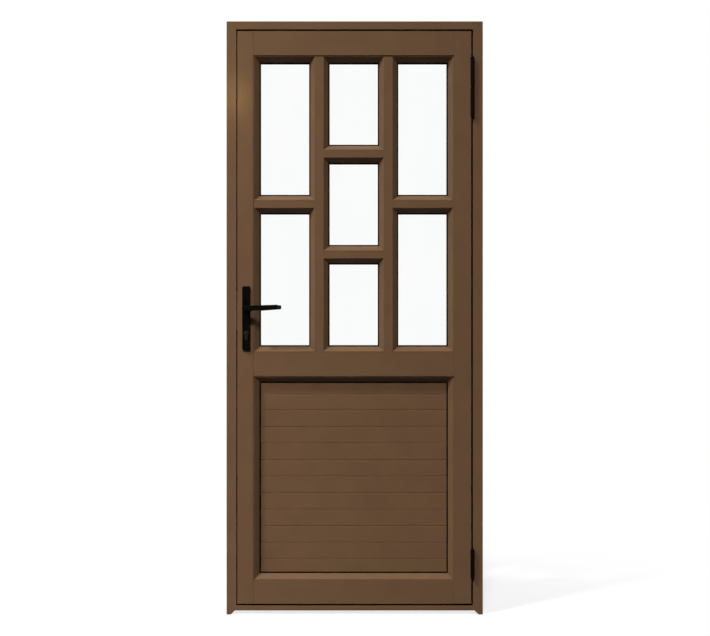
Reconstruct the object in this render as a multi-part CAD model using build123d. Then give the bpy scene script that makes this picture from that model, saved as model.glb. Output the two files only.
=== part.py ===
from build123d import *
import math
import os

# Exterior door: a glazed aluminium leaf hung in its frame.
# X runs across the door, Y from the visible face to the far face, Z up.
# Origin: under the middle of the frame, level with its feet, at half the leaf's depth.

# Frame
frame_width = 900.0
frame_height = 2083.0
frame_depth = 55.0
frame_wall = 1.8
jamb_face = 34.2
head_face = 28.2
wing_width = 15.0
wing_thickness = 2.2
stop_width = 20.0
stop_thickness = 4.0
threshold_height = 16.0
foot_height = 14.0

# Gaps round the closed leaf
lock_gap = 3.6
hinge_gap = 6.4
head_gap = 5.9
threshold_gap = 7.6

# Leaf profiles
leaf_depth = 45.0
leaf_wall = 1.8
lock_stile_width = 55.8
hinge_stile_width = 60.0
top_rail_height = 85.0
mid_rail_height = 83.6
bottom_rail_height = 81.8
mid_rail_level = 878.6
crossbar_height = 20.0
upright_bar_width = 23.0
joint_clearance = 0.3
mitre_gap = 0.2

# Beads in front of the glass, and the fixed legs behind it
bead_width = 20.0
bead_flat = 4.0
bead_step = 3.0
bead_height = 19.0
bead_nose = 2.7
bead_wall = 1.4
leg_width = 20.0
leg_flat = 4.0
leg_step = 3.0
leg_lip = 2.0

# Glass, gaskets and boards
glass_thickness = 6.0
glass_clearance = 5.0
front_gasket_thickness = 2.5
rear_gasket_thickness = 3.0
gasket_reach = 4.8
gasket_edge = 1.0
gasket_tuck = 6.0
packer_length = 60.0
packer_inset = 25.0
board_count = 12
board_pitch = 58.58
board_top_clearance = 4.0
board_gap = 0.3
board_bevel = 1.3
board_wall = 1.5
tongue_length = 4.0
tongue_thickness = 3.0
tongue_clearance = 0.3

# Seal on the frame's stop
seal_inset = 5.0
seal_width = 10.0
seal_base = 1.6
seal_crown = 3.0
seal_clearance = 0.3

# Cleats inside the profiles
cleat_clearance = 0.5
frame_cleat_reach = 70.0
rail_cleat_length = 40.0
rail_cleat_wall = 4.0

# Hinges
hinge_height = 106.7
hinge_radius = 7.0
hinge_stand_off = 0.5
hinge_tip = 3.0
hinge_tip_radius = 4.8
hinge_pin_radius = 3.6
hinge_pin_clearance = 0.05
hinge_leg_thickness = 2.7
hinge_leg_depth = 30.0
hinge_leg_set_back = 0.6
knuckle_gap = 0.4
knuckle_count = 3
top_hinge_drop = 143.3
bottom_hinge_rise = 142.6
hinge_screw_spacing = 34.0
hinge_screws_per_leg = 3

# Countersunk screws of the hinges, lock and strike plate
screw_head_radius = 3.6
screw_radius = 2.0
screw_head_height = 1.6
screw_length = 9.0
screw_clearance = 0.1

# Lock
backset = 31.8
lever_level = 1074.0
cylinder_drop = 85.0
channel_width = 22.6
channel_depth = 3.0
faceplate_clearance = 0.3
faceplate_margin = 25.0
case_thickness = 15.0
case_depth = 48.0
case_wall = 1.5
case_clearance = 0.3
case_margin = 10.0
bolt_clearance = 0.3
running_clearance = 0.05

# Latch bolt and the follower that draws it back
lever_swing = 40.0
follower_radius = 10.0
arm_length = 17.5
arm_width = 3.0
arm_tip_radius = 2.5
arm_thickness = 6.0
latch_rise = 25.0
latch_height = 18.0
latch_thickness = 12.0
latch_projection = 11.0
latch_nose = 3.0
latch_body = 12.0
latch_tail_height = 6.0
latch_tail_lift = 20.6
latch_hook_foot = 15.0
latch_hook_width = 4.0

# Dead bolt
bolt_drop = 42.0
bolt_height = 20.0
bolt_thickness = 10.0
bolt_length = 33.0
bolt_fork_width = 20.0
bolt_notch_width = 8.0
bolt_fork_clearance = 1.0

# Strike plate
strike_width = 24.0
strike_thickness = 1.5
strike_margin = 26.0
strike_window_clearance = 0.8
pocket_clearance = 0.5

# Key cylinder
cylinder_radius = 8.5
cylinder_web_width = 10.0
cylinder_height = 33.0
cylinder_proud = 1.6
cylinder_clearance = 0.25
plug_radius = 6.5
plug_proud = 0.6
keyway_width = 2.2
keyway_height = 8.0
keyway_depth = 14.0
cam_radius = 15.3
cam_hub_radius = 7.6
cam_thickness = 9.6
cam_width = 8.0
cam_clearance = 0.4

# Handle
plate_width = 27.6
plate_rise = 78.5
plate_foot = 35.7
plate_thickness = 9.0
plate_corner = 5.0
plate_edge = 2.0
plate_screw_inset = 14.0
plate_screw_radius = 2.5
plate_screw_head_radius = 4.6
plate_screw_head_height = 2.4
plate_screw_bite = 6.0
lever_reach = 115.0
lever_projection = 46.0
lever_thickness = 11.0
lever_boss_radius = 9.8
lever_tip_height = 15.0
lever_tip_corner = 4.0
lever_tip_rise = 5.8
lever_edge = 2.6
neck_radius = 8.6
neck_clearance = 0.4
spindle_size = 8.0
spindle_clearance = 0.1
spindle_seat = 26.0
spindle_hole_radius = 7.5

# Fixing holes through the jambs
fixing_radius = 4.0
outer_fixing_spacing = 1390.0
inner_fixing_spacing = 470.0
outer_fixing_centre = 995.0
inner_fixing_centre = 1005.0

# How far every cutter runs past what it cuts
overrun = 5.0

# Places worked out from the sizes above
front = -leaf_depth / 2
rear = leaf_depth / 2
frame_rear = front + frame_depth
half_width = frame_width / 2
threshold_top = foot_height + threshold_height
leaf_left = -half_width + jamb_face + lock_gap
leaf_right = half_width - jamb_face - hinge_gap
leaf_low = threshold_top + threshold_gap
leaf_high = frame_height - head_face - head_gap
field_left = leaf_left + lock_stile_width
field_right = leaf_right - hinge_stile_width
bottom_rail_top = leaf_low + bottom_rail_height
mid_rail_low = mid_rail_level - mid_rail_height / 2
mid_rail_top = mid_rail_level + mid_rail_height / 2
top_rail_low = leaf_high - top_rail_height
column_width = (field_right - field_left - 2 * upright_bar_width) / 3
column_lefts = [field_left + place * (column_width + upright_bar_width) for place in range(3)]
glass_front = bead_step + bead_height + front_gasket_thickness
glass_rear = glass_front + glass_thickness
leg_front = glass_rear + rear_gasket_thickness
leg_rear = leaf_depth - leg_step
spindle_x = leaf_left + backset
cylinder_level = lever_level - cylinder_drop
latch_level = lever_level + latch_rise
bolt_level = lever_level - bolt_drop
cylinder_low = cylinder_level + cylinder_radius - cylinder_height
plate_span = (cylinder_low - plate_foot, lever_level + plate_rise)
lever_lean = lever_swing / 2
hinge_x = leaf_right + hinge_gap / 2
hinge_y = front - hinge_stand_off - hinge_radius
hinge_levels = {
    "top": leaf_high - top_hinge_drop,
    "upper": leaf_high - top_hinge_drop - hinge_height,
    "bottom": leaf_low + bottom_hinge_rise,
}
fixing_levels = [
    outer_fixing_centre - outer_fixing_spacing / 2,
    inner_fixing_centre - inner_fixing_spacing / 2,
    inner_fixing_centre + inner_fixing_spacing / 2,
    outer_fixing_centre + outer_fixing_spacing / 2,
]


# Shapes used all over the door
def block(x_span, y_span, z_span):
    """A box between the low and high values of each axis."""
    spans = (x_span, y_span, z_span)
    sizes = [high - low for low, high in spans]
    middle = [(high + low) / 2 for low, high in spans]
    return Pos(*middle) * Box(*sizes)


def centred(middle, size):
    """The span of a size about its middle."""
    return (middle - size / 2, middle + size / 2)


def outline(points):
    """A flat face with straight edges."""
    return make_face(Polyline(*points, close=True))


def through(sketch, near, far):
    """A sketch of the door's face, X across and Z up, made solid from y = near to y = far."""
    return extrude(Plane.XZ.offset(-far) * sketch, amount=far - near)


def rod(direction, start, end, radius):
    """A round bar along an axis, from a start point to an end coordinate on that axis."""
    axis = {"x": Vector(1, 0, 0), "y": Vector(0, 1, 0), "z": Vector(0, 0, 1)}[direction]
    length = end - Vector(*start).dot(axis)
    return extrude(Plane(start, z_dir=axis) * Circle(radius), amount=length)


def countersunk(start, inward, length, head_radius, radius, head_height):
    """A countersunk screw or its hole, from the middle of its head along a direction."""
    side = [(0, 0), (head_radius, 0), (radius, head_height), (radius, length), (0, length)]
    turned = revolve(Plane.XZ * outline(side), axis=Axis.Z)
    return Plane(start, z_dir=inward).location * turned


def small_screw(start, inward):
    """One countersunk screw of the hinges, lock or strike plate."""
    return countersunk(start, inward, screw_length, screw_head_radius, screw_radius, screw_head_height)


def small_screw_hole(start, inward):
    """The hole that takes one such screw."""
    head = screw_head_radius + screw_clearance
    shank = screw_radius + screw_clearance
    return countersunk(start, inward, screw_length + overrun, head, shank, screw_head_height)


def ring_lengths(opening, section):
    """Four lengths of one section, mitred round an opening: low, right, high and left.

    The section's points give how far a point lies inside the opening and how far behind the visible face.
    Each mitre keeps a hairline gap.
    """
    left, right, low, high = opening
    corners = ((left, low), (right, low), (right, high), (left, high))
    spans = (right - left, high - low, right - left, high - low)
    reach = max(inside for inside, depth in section)
    face = outline([(front + depth, inside) for inside, depth in section])
    lengths = []
    for turn, ((x, z), span) in enumerate(zip(corners, spans)):
        run = extrude(Plane.YZ * face, amount=span)
        start = mitre_gap / 2
        end = span - mitre_gap / 2
        mitred = outline([(start, 0), (end, 0), (end - reach, reach), (start + reach, reach)])
        run = run & through(mitred, front - overrun, front + frame_depth + overrun)
        lengths.append(Location((x, 0, z), (0, -90 * turn, 0)) * run)
    return lengths


def group(solids):
    """Several solids kept apart under one name."""
    return Compound(children=[part.solid() for part in solids])


# The openings between the stiles, rails and bars, as left, right, low and high
def column_cells(column, count):
    """A column's equal openings, from the top down."""
    left = column_lefts[column]
    height = (top_rail_low - mid_rail_top - (count - 1) * crossbar_height) / count
    lows = [top_rail_low - height - place * (height + crossbar_height) for place in range(count)]
    return [(left, left + column_width, low, low + height) for low in lows]


left_cells = column_cells(0, 2)
centre_cells = column_cells(1, 3)
right_cells = column_cells(2, 2)
pane_cells = {
    "left_upper": left_cells[0],
    "left_lower": left_cells[1],
    "centre_upper": centre_cells[0],
    "centre_middle": centre_cells[1],
    "centre_lower": centre_cells[2],
    "right_upper": right_cells[0],
    "right_lower": right_cells[1],
}
panel_cell = (field_left, field_right, bottom_rail_top, mid_rail_low)
all_cells = [*pane_cells.values(), panel_cell]


# Frame
def jamb_sections(face_width, width_share):
    """Spans of the frame's section, inward from its outer edge and back from its face."""
    wing = wing_width * width_share
    stop = face_width + stop_width * width_share
    return {
        "wing": ((0, wing), (0, wing_thickness)),
        "box": ((wing, face_width), (0, frame_depth)),
        "chamber": ((wing + frame_wall, face_width - frame_wall), (frame_wall, frame_depth - frame_wall)),
        "stop": ((face_width, stop), (frame_depth - stop_thickness, frame_depth)),
    }


def foot_cut():
    """What is cut from the right jamb's foot, along the joint with the threshold."""
    joint = [
        (half_width - wing_width, -overrun),
        (half_width - wing_width, 0),
        (half_width - wing_width - foot_height, foot_height),
        (half_width - jamb_face + frame_wall, threshold_top - frame_wall),
        (half_width - jamb_face, threshold_top),
        (half_width - jamb_face - stop_width, threshold_top + stop_width),
        (0, threshold_top + stop_width),
        (0, -overrun),
    ]
    return through(outline(joint), front - overrun, frame_rear + overrun)


def head_cut():
    """The space above the mitre at the right jamb's top."""
    run = 2 * (jamb_face + stop_width)
    fall = run * head_face / jamb_face
    mitre_end = (half_width - run, frame_height - fall)
    space = [(half_width, frame_height), mitre_end, (0, frame_height - fall), (0, frame_height)]
    return through(outline(space), front - overrun, frame_rear + overrun)


def plain_jamb():
    """The right jamb's hollow profile with its foot, mitre and fixing holes."""
    parts = {}
    for name, (inward, back) in jamb_sections(jamb_face, 1).items():
        x_span = (half_width - inward[1], half_width - inward[0])
        y_span = (front + back[0], front + back[1])
        z_span = (-overrun, frame_height + overrun) if name == "chamber" else (0, frame_height)
        parts[name] = block(x_span, y_span, z_span)
    jamb = parts["wing"] + parts["box"] + parts["stop"] - parts["chamber"] - foot_cut() - head_cut()
    inner = half_width - jamb_face
    for level in fixing_levels:
        start = (inner - overrun, front + frame_depth / 2, level)
        jamb -= rod("x", start, half_width - wing_width + overrun, fixing_radius)
    return jamb


def hinge_jamb():
    """The right jamb, with holes for the hinge screws."""
    jamb = plain_jamb()
    for point in hinge_screw_points(half_width - jamb_face - hinge_leg_thickness):
        jamb -= small_screw_hole(point, (1, 0, 0))
    return jamb


def lock_jamb():
    """The left jamb, with pockets for the latch and the dead bolt and holes for the strike screws."""
    jamb = mirror(plain_jamb(), about=Plane.YZ)
    inner = -half_width + jamb_face
    for level, thickness, height in bolt_sections():
        clear = 2 * (strike_window_clearance + pocket_clearance)
        x_span = (inner - frame_wall - overrun / 2, inner + overrun)
        jamb -= block(x_span, centred(0, thickness + clear), centred(level, height + clear))
    for point in strike_screw_points():
        jamb -= small_screw_hole(point, (-1, 0, 0))
    return jamb


def level_frame_piece(sections, high_edge, upward):
    """The head or threshold profile, full width, from its outer edge towards the leaf."""
    parts = {}
    for name, (inward, back) in sections.items():
        ends = sorted((high_edge + upward * inward[0], high_edge + upward * inward[1]))
        x_span = centred(0, frame_width + (2 * overrun if name == "chamber" else 0))
        parts[name] = block(x_span, (front + back[0], front + back[1]), ends)
    whole = parts.pop("box")
    chamber = parts.pop("chamber")
    for piece in parts.values():
        whole += piece
    return whole - chamber


def head():
    """The frame's top profile, mitred to both jambs."""
    share = head_face / jamb_face
    profile = level_frame_piece(jamb_sections(head_face, share), frame_height, -1)
    space = head_cut() + mirror(head_cut(), about=Plane.YZ)
    return profile & space


def threshold():
    """The bottom profile: a low box with an upstand behind the leaf, fitted to both jambs' feet."""
    inner_levels = (foot_height + frame_wall, threshold_top - frame_wall)
    inner_depths = (frame_wall, frame_depth - frame_wall)
    stop_levels = (threshold_top, threshold_top + stop_width)
    sections = {
        "box": ((foot_height, threshold_top), (0, frame_depth)),
        "chamber": (inner_levels, inner_depths),
        "stop": (stop_levels, (frame_depth - stop_thickness, frame_depth)),
    }
    profile = level_frame_piece(sections, 0, 1)
    space = foot_cut() + mirror(foot_cut(), about=Plane.YZ)
    return profile & space


def frame_corner_cleats():
    """Four angle blocks inside the frame's corners."""
    share = head_face / jamb_face
    inset = frame_wall + cleat_clearance
    outer = half_width - wing_width - inset
    inner = half_width - jamb_face + inset
    y_span = (front + inset, frame_rear - inset)
    head_span = (frame_height - head_face + inset, frame_height - wing_width * share - inset)
    foot_span = (foot_height + inset, threshold_top - inset)
    cleats = []
    for z_span, upright in ((head_span, (head_span[1] - frame_cleat_reach, head_span[1])),
                            (foot_span, (foot_span[0], foot_span[0] + frame_cleat_reach))):
        level_leg = block((outer - frame_cleat_reach, outer), y_span, z_span)
        angle = level_leg + block((inner, outer), y_span, upright)
        cleats += [angle, mirror(angle, about=Plane.YZ)]
    return group(cleats)


def rebate_gasket():
    """The soft strip on the frame's stop that the leaf closes against."""
    seat = frame_depth - stop_thickness
    crown = leaf_depth + seal_clearance
    middle = seal_inset + seal_width / 2
    section = [
        (seal_inset, seat),
        (seal_inset + seal_width, seat),
        (seal_inset + seal_width, seat - seal_base),
        (middle + seal_crown / 2, crown),
        (middle - seal_crown / 2, crown),
        (seal_inset, seat - seal_base),
    ]
    edge = half_width - jamb_face
    return group(ring_lengths((-edge, edge, threshold_top, frame_height - head_face), section))


# Leaf
def tube(x_span, z_span, y_span, along):
    """A rectangular hollow profile, open at both ends along x or z."""
    inner_x = (x_span[0] + leaf_wall, x_span[1] - leaf_wall)
    inner_z = (z_span[0] + leaf_wall, z_span[1] - leaf_wall)
    if along == "x":
        inner_x = (x_span[0] - overrun, x_span[1] + overrun)
    else:
        inner_z = (z_span[0] - overrun, z_span[1] + overrun)
    inner_y = (y_span[0] + leaf_wall, y_span[1] - leaf_wall)
    return block(x_span, y_span, z_span) - block(inner_x, inner_y, inner_z)


leg_section = [
    (0, leg_front),
    (leg_width, leg_front),
    (leg_width, leg_front + leg_lip),
    (leg_flat, leg_rear),
    (0, leg_rear),
]
cell_legs = [ring_lengths(cell, leg_section) for cell in all_cells]


def with_legs(profile, x_span, z_span):
    """A profile with the fixed glazing legs that start from its own faces."""
    for cell, (low_leg, right_leg, high_leg, left_leg) in zip(all_cells, cell_legs):
        left, right, low, high = cell
        beside = z_span[0] - leaf_wall < low and high < z_span[1] + leaf_wall
        over = x_span[0] - leaf_wall < left and right < x_span[1] + leaf_wall
        if beside and math.isclose(left, x_span[1]):
            profile += left_leg
        if beside and math.isclose(right, x_span[0]):
            profile += right_leg
        if over and math.isclose(low, z_span[1]):
            profile += low_leg
        if over and math.isclose(high, z_span[0]):
            profile += high_leg
    return profile


def shortened(span):
    """A length cut short by the joint clearance at both ends."""
    return (span[0] + joint_clearance, span[1] - joint_clearance)


def stile(x_span):
    """An upright of the leaf, full height."""
    z_span = (leaf_low, leaf_high)
    return with_legs(tube(x_span, z_span, (front, rear), "z"), x_span, z_span)


def rail(z_span):
    """A level member of the leaf, between the stiles."""
    x_span = (field_left, field_right)
    profile = tube(shortened(x_span), z_span, (front, rear), "x")
    return with_legs(profile, x_span, z_span)


def glazing_bar(column):
    """An upright bar right of a column, its flat level with the beads."""
    left = column_lefts[column] + column_width
    x_span = (left, left + upright_bar_width)
    z_span = (mid_rail_top, top_rail_low)
    profile = tube(x_span, shortened(z_span), (front + bead_step, front + leg_rear), "z")
    return with_legs(profile, x_span, z_span)


def crossbar(upper_cell):
    """A level bar under a cell, as wide as its column."""
    left, right, low, high = upper_cell
    z_span = (low - crossbar_height, low)
    profile = tube(shortened((left, right)), z_span, (front + bead_step, front + leg_rear), "x")
    return with_legs(profile, (left, right), z_span)


def hinge_stile():
    """The right stile, with holes for the hinge screws."""
    profile = stile((field_right, leaf_right))
    for point in hinge_screw_points(leaf_right + hinge_leg_thickness):
        profile -= small_screw_hole(point, (-1, 0, 0))
    return profile


def lock_stile():
    """The left stile, with its hardware channel and the cuts for the lock, handle and cylinder."""
    profile = stile((leaf_left, field_left))
    z_span = (leaf_low - overrun, leaf_high + overrun)
    floor = leaf_left + channel_depth
    channel_y = centred(0, channel_width + 2 * leaf_wall)
    profile += block((leaf_left, floor + leaf_wall), channel_y, (leaf_low, leaf_high))
    profile -= block((leaf_left - overrun, floor), centred(0, channel_width), z_span)
    loose = 2 * case_clearance
    case_low, case_high = case_span()
    profile -= block(
        (leaf_left - overrun, floor + leaf_wall + overrun),
        centred(0, case_thickness + loose),
        (case_low - case_clearance, case_high + case_clearance),
    )
    profile -= rod("y", (spindle_x, front - overrun, lever_level), rear + overrun, spindle_hole_radius)
    profile -= through(cylinder_outline(2 * cylinder_clearance), front - overrun, rear + overrun)
    for level in plate_screw_levels():
        radius = plate_screw_radius + screw_clearance
        profile -= rod("y", (spindle_x, front - overrun, level), rear + overrun, radius)
    for point in faceplate_screw_points():
        profile -= small_screw_hole(point, (1, 0, 0))
    return profile


def rail_cleats():
    """Hollow blocks inside the rails' ends, where the rails meet the stiles."""
    inset = leaf_wall + cleat_clearance
    cleats = []
    for low, high in ((leaf_low, bottom_rail_top), (mid_rail_low, mid_rail_top), (top_rail_low, leaf_high)):
        y_span = (front + inset, rear - inset)
        z_span = (low + inset, high - inset)
        hole_y = (y_span[0] + rail_cleat_wall, y_span[1] - rail_cleat_wall)
        hole_z = (z_span[0] + rail_cleat_wall, z_span[1] - rail_cleat_wall)
        for start in (field_left, field_right - rail_cleat_length):
            x_span = (start, start + rail_cleat_length)
            hole_x = (start - overrun, start + rail_cleat_length + overrun)
            cleats.append(block(x_span, y_span, z_span) - block(hole_x, hole_y, hole_z))
    return group(cleats)


# Glazing
def bead_section():
    """A bead's bent strip: a leg on the profile, a flat, a bevel and a nose that presses on the gasket."""
    back = bead_step + bead_height
    turn = back - bead_nose
    slope = math.atan2(turn - bead_step, bead_width - bead_flat)
    top_shift = bead_wall * math.tan(slope / 2)
    nose_shift = bead_wall * math.tan((math.pi / 2 - slope) / 2)
    return [
        (0, back - bead_nose),
        (0, bead_step),
        (bead_flat, bead_step),
        (bead_width, turn),
        (bead_width, back),
        (bead_width - bead_wall, back),
        (bead_width - bead_wall, turn + nose_shift),
        (bead_flat - top_shift, bead_step + bead_wall),
        (bead_wall, bead_step + bead_wall),
        (bead_wall, back - bead_nose),
    ]


def bead_sets(cells):
    """The four mitred beads of each of some cells."""
    return group([length for cell in cells for length in ring_lengths(cell, bead_section())])


def front_gaskets():
    """The strips between the beads and the panes or boards."""
    back = bead_step + bead_height
    section = [
        (bead_width - gasket_tuck, back),
        (bead_width, back),
        (bead_width + gasket_reach, glass_front - gasket_edge),
        (bead_width + gasket_reach, glass_front),
        (bead_width - gasket_tuck, glass_front),
    ]
    return group([length for cell in all_cells for length in ring_lengths(cell, section)])


def rear_gaskets():
    """The strips between the panes and the fixed legs."""
    section = [
        (leg_width - gasket_tuck, glass_rear),
        (leg_width + gasket_reach, glass_rear),
        (leg_width + gasket_reach, glass_rear + gasket_edge),
        (leg_width, leg_front),
        (leg_width - gasket_tuck, leg_front),
    ]
    return group([length for cell in pane_cells.values() for length in ring_lengths(cell, section)])


def pane(cell):
    """One sheet of glass."""
    left, right, low, high = cell
    edge = glass_clearance
    y_span = (front + glass_front, front + glass_rear)
    return block((left + edge, right - edge), y_span, (low + edge, high - edge))


def glazing_packers():
    """Two blocks under each pane and under the boards."""
    packers = []
    y_span = (front + glass_front, front + glass_rear)
    for cell in all_cells:
        left, right, low, high = cell
        top = board_low() if cell == panel_cell else low + glass_clearance
        for start in (left + packer_inset, right - packer_inset - packer_length):
            packers.append(block((start, start + packer_length), y_span, (low, top)))
    return group(packers)


def board_low():
    """The lower edge of the lowest board."""
    return mid_rail_low - board_top_clearance - board_count * board_pitch


def board():
    """One hollow tongue-and-groove board, its lower edge at z = 0, groove below and tongue above."""
    near = front + glass_front
    far = front + leg_front
    middle = (near + far) / 2
    high = board_pitch - board_gap
    x_span = (field_left + glass_clearance, field_right - glass_clearance)
    face = outline([
        (near, board_bevel),
        (near + board_bevel, 0),
        (far, 0),
        (far, high),
        (near + board_bevel, high),
        (near, high - board_bevel),
    ])
    length = x_span[1] - x_span[0]
    solid = Pos(x_span[0], 0, 0) * extrude(Plane.YZ * face, amount=length)
    groove = tongue_length + tongue_clearance
    cut_x = (x_span[0] - overrun, x_span[1] + overrun)
    solid += block(x_span, centred(middle, tongue_thickness), (high, high + tongue_length))
    groove_y = centred(middle, tongue_thickness + 2 * tongue_clearance)
    solid -= block(cut_x, groove_y, (-overrun, groove + board_gap))
    chamber_z = (groove + board_gap + board_wall, high - board_bevel - board_wall)
    solid -= block(cut_x, (near + board_wall, far - board_wall), chamber_z)
    return solid


def panel_boards():
    """The boards of the lower field."""
    one = board()
    return group([Pos(0, 0, board_low() + place * board_pitch) * one for place in range(board_count)])


# Hinges
def hinge_screw_points(x):
    """Where the screws of all the hinge legs on one side start."""
    half = (hinge_screws_per_leg - 1) / 2
    y = front + hinge_leg_set_back + hinge_leg_depth / 2
    offsets = [(place - half) * hinge_screw_spacing for place in range(hinge_screws_per_leg)]
    return [(x, y, level + offset) for level in hinge_levels.values() for offset in offsets]


def knuckle_spans(level):
    """The knuckles of a hinge from the bottom up."""
    barrel = hinge_height - 2 * hinge_tip
    low = level - barrel / 2
    step = barrel / knuckle_count
    return [(low + place * step + knuckle_gap / 2, low + (place + 1) * step - knuckle_gap / 2)
            for place in range(knuckle_count)]


def hinge_half(level, on_leaf):
    """One half of a hinge: its flat leg in the gap beside the leaf, and every other knuckle."""
    seat, side = (leaf_right, 1) if on_leaf else (half_width - jamb_face, -1)
    x_span = sorted((seat, seat + side * hinge_leg_thickness))
    leg_start = front + hinge_leg_set_back
    z_span = centred(level, hinge_height - 2 * hinge_tip)
    half = block(x_span, (leg_start, leg_start + hinge_leg_depth), z_span)
    bore = hinge_pin_radius + hinge_pin_clearance
    for low, high in knuckle_spans(level)[1 if on_leaf else 0::2]:
        half += block(x_span, (hinge_y, leg_start), (low, high))
        half += rod("z", (hinge_x, hinge_y, low), high, hinge_radius)
    half -= rod("z", (hinge_x, hinge_y, z_span[0] - overrun), z_span[1] + overrun, bore)
    for point in hinge_screw_points(seat + side * hinge_leg_thickness):
        half -= small_screw_hole(point, (-side, 0, 0))
    return half


def hinge_pins():
    """The three pins, each with a turned tip at both ends."""
    pins = []
    for level in hinge_levels.values():
        low, high = centred(level, hinge_height - 2 * hinge_tip)
        pin = rod("z", (hinge_x, hinge_y, low), high, hinge_pin_radius)
        for start, end in ((high, high + hinge_tip), (low, low - hinge_tip)):
            tip = rod("z", (hinge_x, hinge_y, min(start, end)), max(start, end), hinge_tip_radius)
            outer = tip.faces().sort_by(Axis.Z)[-1 if end > start else 0]
            pin += chamfer(outer.edges(), hinge_tip / 2)
        pins.append(pin)
    return group(pins)


def hinge_screws(x, inward):
    """The screws of all the hinge legs on one side."""
    return group([small_screw(point, inward) for point in hinge_screw_points(x)])


# Lock
def bolt_sections():
    """Level, thickness and height of the latch and of the dead bolt."""
    return ((latch_level, latch_thickness, latch_height), (bolt_level, bolt_thickness, bolt_height))


def case_span():
    """The lock case from its bottom to its top."""
    return (cylinder_low - case_margin, latch_level + latch_height / 2 + case_margin)


def faceplate_screw_points():
    """Where the faceplate's two screws start."""
    low, high = case_span()
    inset = faceplate_margin / 2
    return [(leaf_left, 0, low - inset), (leaf_left, 0, high + inset)]


def lock_faceplate():
    """The plate in the stile's channel that carries the lock."""
    low, high = case_span()
    plate = block(
        (leaf_left, leaf_left + channel_depth),
        centred(0, channel_width - 2 * faceplate_clearance),
        (low - faceplate_margin, high + faceplate_margin),
    )
    for level, thickness, height in bolt_sections():
        loose = 2 * bolt_clearance
        x_span = (leaf_left - overrun, leaf_left + channel_depth + overrun)
        plate -= block(x_span, centred(0, thickness + loose), centred(level, height + loose))
    for point in faceplate_screw_points():
        plate -= small_screw_hole(point, (1, 0, 0))
    return plate


def lock_case():
    """The hollow case behind the faceplate."""
    z_span = case_span()
    x_span = (leaf_left + channel_depth, leaf_left + channel_depth + case_depth)
    y_span = centred(0, case_thickness)
    inner = [(low + case_wall, high - case_wall) for low, high in (x_span, y_span, z_span)]
    case = block(x_span, y_span, z_span) - block(*inner)
    for level, thickness, height in bolt_sections():
        loose = 2 * bolt_clearance
        cut_x = (x_span[0] - overrun, x_span[0] + overrun)
        case -= block(cut_x, centred(0, thickness + loose), centred(level, height + loose))
    reach = case_thickness / 2 + overrun
    case -= rod("y", (spindle_x, -reach, lever_level), reach, follower_radius + running_clearance)
    return case - through(cylinder_outline(cylinder_clearance), -reach, reach)


def follower():
    """The hub that the spindle turns, with the arm that draws the latch back."""
    half = case_thickness / 2
    hub = rod("y", (spindle_x, -half, lever_level), half, follower_radius)
    arm = Rot(0, 0, lever_lean) * (Pos(0, arm_length / 2) * Rectangle(arm_width, arm_length))
    arm += Rot(0, 0, lever_lean) * (Pos(0, arm_length) * Circle(arm_tip_radius))
    arm = through(Pos(spindle_x, lever_level) * arm, -arm_thickness / 2, arm_thickness / 2)
    socket = spindle_size + 2 * spindle_clearance
    cut_y = centred(0, case_thickness + overrun)
    return hub + arm - block(centred(spindle_x, socket), cut_y, centred(lever_level, socket))


def latch_bolt():
    """The sprung bolt: a bevelled head, a tail and the hook that the follower's arm pulls."""
    tip = leaf_left - latch_projection
    inner = leaf_left + latch_body
    half = latch_thickness / 2
    nose = (tip, latch_nose - half)
    plan = outline([(tip, -half), (inner, -half), (inner, half), (leaf_left, half), nose])
    low = latch_level - latch_height / 2
    bolt = extrude(Pos(0, 0, low) * plan, amount=latch_height)
    lean = math.radians(lever_lean)
    face = spindle_x - arm_length * math.sin(lean) + arm_tip_radius + bolt_clearance
    tail_low = lever_level + latch_tail_lift
    y_span = centred(0, arm_thickness)
    bolt += block((inner, face + latch_hook_width), y_span, (tail_low, tail_low + latch_tail_height))
    bolt += block((face, face + latch_hook_width), y_span, (lever_level + latch_hook_foot, tail_low))
    return bolt


def dead_bolt():
    """The bolt that the key throws, drawn back, with the fork over the cylinder's cam."""
    y_span = centred(0, bolt_thickness)
    bolt = block((leaf_left, leaf_left + bolt_length), y_span, centred(bolt_level, bolt_height))
    foot = cylinder_level + cam_radius + bolt_fork_clearance
    top = bolt_level - bolt_height / 2
    bolt += block(centred(spindle_x, bolt_fork_width), y_span, (foot, top + case_wall))
    cut_y = centred(0, bolt_thickness + overrun)
    return bolt - block(centred(spindle_x, bolt_notch_width), cut_y, (foot - overrun, top))


def strike_screw_points():
    """Where the strike plate's two screws start."""
    x = -half_width + jamb_face + strike_thickness
    low, high = strike_span()
    inset = strike_margin / 3
    return [(x, 0, low + inset), (x, 0, high - inset)]


def strike_span():
    """The strike plate from its bottom to its top."""
    low = bolt_level - bolt_height / 2 - strike_margin
    return (low, latch_level + latch_height / 2 + strike_margin)


def strike_plate():
    """The plate on the lock jamb with a window for each bolt."""
    seat = -half_width + jamb_face
    plate = block((seat, seat + strike_thickness), centred(0, strike_width), strike_span())
    for level, thickness, height in bolt_sections():
        loose = 2 * strike_window_clearance
        x_span = (seat - overrun, seat + strike_thickness + overrun)
        plate -= block(x_span, centred(0, thickness + loose), centred(level, height + loose))
    for point in strike_screw_points():
        plate -= small_screw_hole(point, (-1, 0, 0))
    return plate


# Key cylinder
def cylinder_outline(clearance):
    """The profile cylinder's outline: a round barrel over a narrower web."""
    low = cylinder_radius - cylinder_height
    half_web = cylinder_web_width / 2
    shape = Circle(cylinder_radius + clearance)
    shape += Pos(0, (low + half_web) / 2) * Rectangle(cylinder_web_width + 2 * clearance, -low - half_web)
    shape += Pos(0, low + half_web) * Circle(half_web + clearance)
    return Pos(spindle_x, cylinder_level) * shape


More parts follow.
